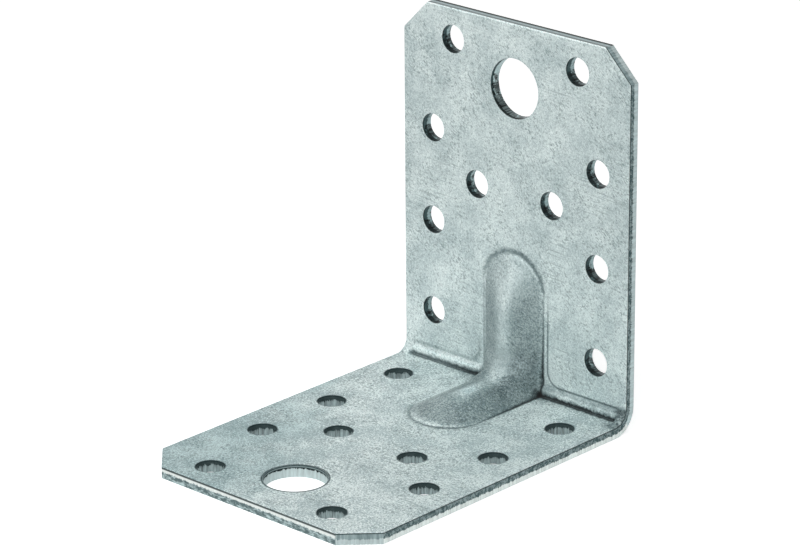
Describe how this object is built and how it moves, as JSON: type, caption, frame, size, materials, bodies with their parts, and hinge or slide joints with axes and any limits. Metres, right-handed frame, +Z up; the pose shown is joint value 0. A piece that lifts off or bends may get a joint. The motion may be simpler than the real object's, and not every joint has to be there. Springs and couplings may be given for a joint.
{
  "type": "corner brace bracket",
  "caption": "Ribbed right-angle bracket of galvanised sheet steel, punched for screws and bolts, for joining timbers at a corner.",
  "frame": {"origin": "centre of the bounding box at the plane of the lying leg's underside", "axes": "+X along the fold, +Y towards the upright leg's back face, +Z up along the upright leg"},
  "size_m": [0.06, 0.08, 0.08],
  "materials": {
    "zinc_sheet": "hot-dip galvanised, cloudy pale grey"
  },
  "bodies": {
    "root": {"bracket": "zinc_sheet"}
  },
  "joints": []
}
